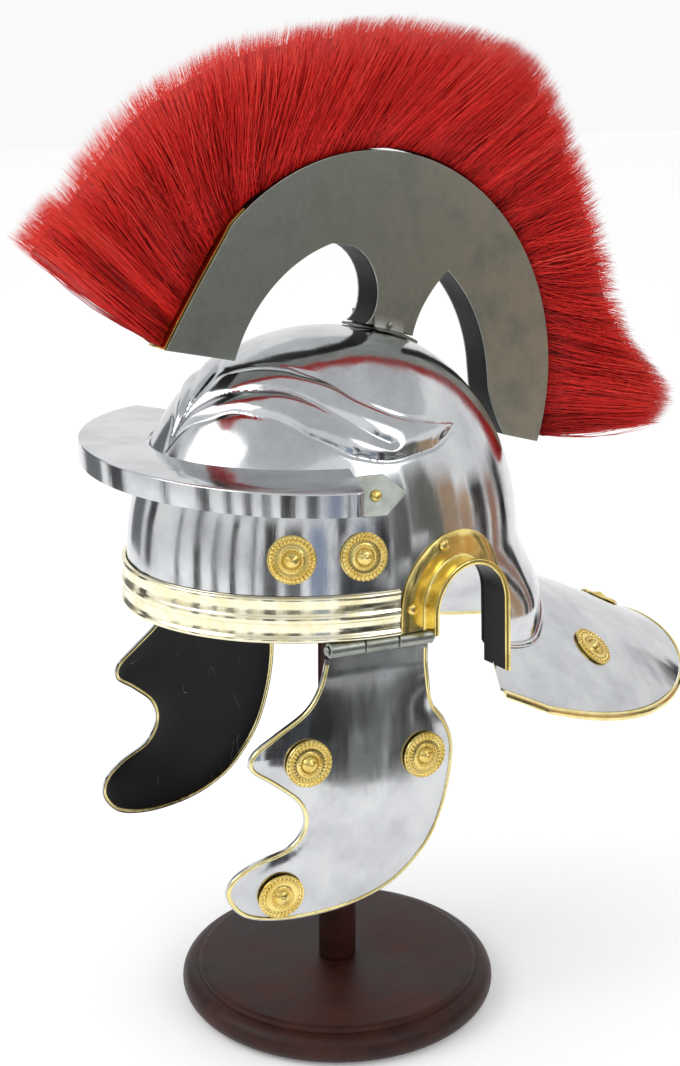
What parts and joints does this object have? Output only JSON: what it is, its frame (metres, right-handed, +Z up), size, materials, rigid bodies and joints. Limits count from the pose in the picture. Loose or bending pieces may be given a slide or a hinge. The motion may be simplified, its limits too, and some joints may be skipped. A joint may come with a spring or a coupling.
{
  "type": "roman legionary helmet on a wooden display stand",
  "caption": "Polished steel Roman legionary helmet with brass trim, hinged cheek guards, neck guard, brow peak and an upright red horsehair crest, on a turned wooden stand.",
  "frame": {"origin": "middle of the stand's foot, on the surface it stands on", "axes": "+Z up, -Y where the brow points, +X the wearer's left; the plane x = 0 is the plane of symmetry"},
  "size_m": [0.2502, 0.427, 0.5583],
  "materials": {
    "polished_steel": "mirror polished with fine rubbing marks",
    "satin_steel": "satin, brushed",
    "brass": "polished, darker in the hollows",
    "dark_wood": "dark red-brown stain under a satin varnish",
    "black_wood": "black paint on wood",
    "red_horsehair": "dyed horsehair, straight strands"
  },
  "bodies": {
    "helmet": {"bowl": "polished_steel", "neck_guard": "polished_steel", "peak": "polished_steel", "crest_plate_left": "satin_steel", "crest_plate_right": "satin_steel", "crest_socket": "satin_steel", "cheek_hinge_fixed_left": "satin_steel", "cheek_hinge_fixed_right": "satin_steel", "cheek_hinge_pin_left": "satin_steel", "cheek_hinge_pin_right": "satin_steel", "neck_guard_edging": "brass", "brow_band": "brass", "ear_guard_left": "brass", "ear_guard_right": "brass", "brow_rosette_front_left": "brass", "brow_rosette_front_right": "brass", "brow_rosette_rear_left": "brass", "brow_rosette_rear_right": "brass", "neck_rosette_left": "brass", "neck_rosette_right": "brass", "neck_rosette_middle": "brass", "ear_rivet_top_left": "brass", "ear_rivet_top_right": "brass", "ear_rivet_front_left": "brass", "ear_rivet_front_right": "brass", "peak_rivet_left": "brass", "peak_rivet_right": "brass", "stand_base": "dark_wood", "stand_post": "dark_wood", "stand_head": "dark_wood", "crest_core": "black_wood", "plume": "red_horsehair"},
    "cheek_guard_left": {"cheek_hinge_moving_left": "satin_steel", "cheek_plate_left": "polished_steel", "cheek_edging_left": "brass", "cheek_rosette_front_left": "brass", "cheek_rosette_rear_left": "brass", "cheek_rosette_chin_left": "brass"},
    "cheek_guard_right": {"cheek_hinge_moving_right": "satin_steel", "cheek_plate_right": "polished_steel", "cheek_edging_right": "brass", "cheek_rosette_front_right": "brass", "cheek_rosette_rear_right": "brass", "cheek_rosette_chin_right": "brass"}
  },
  "joints": [
    {"name": "cheek_hinge_left", "type": "hinge", "parent": "helmet", "child": "cheek_guard_left", "pos_m": [0.0865, -0.061, 0.2488], "axis": [-0.1494, -0.9888, 0], "range_deg": [-25, 85]},
    {"name": "cheek_hinge_right", "type": "hinge", "parent": "helmet", "child": "cheek_guard_right", "pos_m": [-0.0865, -0.061, 0.2488], "axis": [-0.1494, 0.9888, 0], "range_deg": [-25, 85]}
  ]
}
